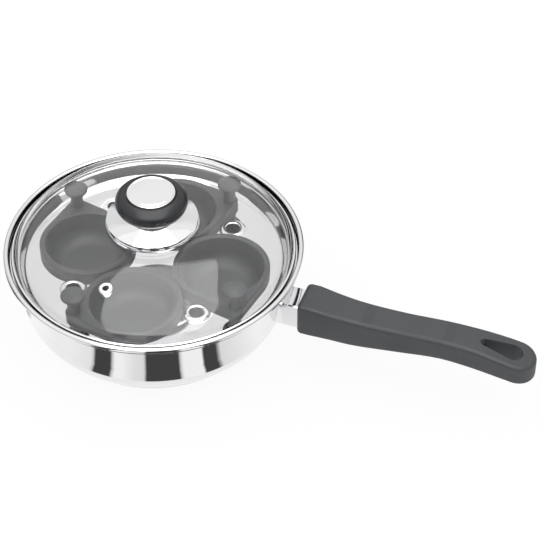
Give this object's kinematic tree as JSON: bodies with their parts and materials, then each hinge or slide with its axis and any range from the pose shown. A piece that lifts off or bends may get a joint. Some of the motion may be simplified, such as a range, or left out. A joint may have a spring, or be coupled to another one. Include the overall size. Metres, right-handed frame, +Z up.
{
  "type": "egg poacher pan",
  "caption": "Round steel pan with a long side handle, a pressed tray with lift-out egg cups that have finger knobs, and a domed glass lid with a steam eyelet and a knob.",
  "frame": {"origin": "centre of the underside of the base, on the pan's axis", "axes": "+Z up along the pan's axis, +X along the handle towards its hanging hole"},
  "size_m": [0.378, 0.208, 0.1124],
  "materials": {
    "mirror_steel": "mirror polished stainless steel",
    "base_steel": "satin stainless steel with a turned face",
    "aluminium_core": "rolled aluminium, mostly enclosed",
    "bracket_steel": "polished stainless steel channel",
    "grip_phenolic": "matt dark grey phenolic with a fine grain",
    "screw_steel": "plain steel screws and washers",
    "tray_steel": "polished pressed stainless steel",
    "cup_coating": "dark grey non-stick coating with a fine speckle",
    "cup_knob_plastic": "matt dark grey phenolic",
    "lid_glass": "clear tempered glass",
    "band_steel": "polished rolled stainless steel",
    "eyelet_steel": "polished steel eyelet",
    "skirt_steel": "mirror polished stainless steel saucer",
    "gasket_rubber": "black seal",
    "knob_phenolic": "satin black phenolic",
    "cap_steel": "polished stainless steel disc"
  },
  "bodies": {
    "pan": {"pan_body": "mirror_steel", "base_core": "aluminium_core", "base_cap": "base_steel", "handle_bracket": "bracket_steel", "handle_grip": "grip_phenolic", "handle_screw": "screw_steel"},
    "tray": {"poacher_tray": "tray_steel"},
    "cup_1": {"egg_cup_1": "cup_coating", "cup_knob_1": "cup_knob_plastic", "cup_screw_1": "screw_steel"},
    "cup_2": {"egg_cup_2": "cup_coating", "cup_knob_2": "cup_knob_plastic", "cup_screw_2": "screw_steel"},
    "cup_3": {"egg_cup_3": "cup_coating", "cup_knob_3": "cup_knob_plastic", "cup_screw_3": "screw_steel"},
    "cup_4": {"egg_cup_4": "cup_coating", "cup_knob_4": "cup_knob_plastic", "cup_screw_4": "screw_steel"},
    "lid": {"lid_glass": "lid_glass", "lid_band": "band_steel", "vent_eyelet": "eyelet_steel", "knob_skirt": "skirt_steel", "knob_gasket": "gasket_rubber", "knob_grip": "knob_phenolic", "knob_cap": "cap_steel", "knob_screw": "screw_steel", "knob_washer": "screw_steel"}
  },
  "joints": [
    {"name": "tray_lift", "type": "slide", "parent": "pan", "child": "tray", "axis": [0, 0, 1], "range_m": [0, 0.1]},
    {"name": "lid_lift", "type": "slide", "parent": "tray", "child": "lid", "axis": [0, 0, 1], "range_m": [0, 0.2]},
    {"name": "cup_1_lift", "type": "slide", "parent": "tray", "child": "cup_1", "axis": [0, 0, 1], "range_m": [0, 0.09]},
    {"name": "cup_2_lift", "type": "slide", "parent": "tray", "child": "cup_2", "axis": [0, 0, 1], "range_m": [0, 0.09]},
    {"name": "cup_3_lift", "type": "slide", "parent": "tray", "child": "cup_3", "axis": [0, 0, 1], "range_m": [0, 0.09]},
    {"name": "cup_4_lift", "type": "slide", "parent": "tray", "child": "cup_4", "axis": [0, 0, 1], "range_m": [0, 0.09]}
  ],
  "couplings": [
    {"joint": "cup_1_lift", "follows": "lid_lift", "ratio": 0.45},
    {"joint": "cup_2_lift", "follows": "lid_lift", "ratio": 0.45},
    {"joint": "cup_3_lift", "follows": "lid_lift", "ratio": 0.45},
    {"joint": "cup_4_lift", "follows": "lid_lift", "ratio": 0.45}
  ]
}
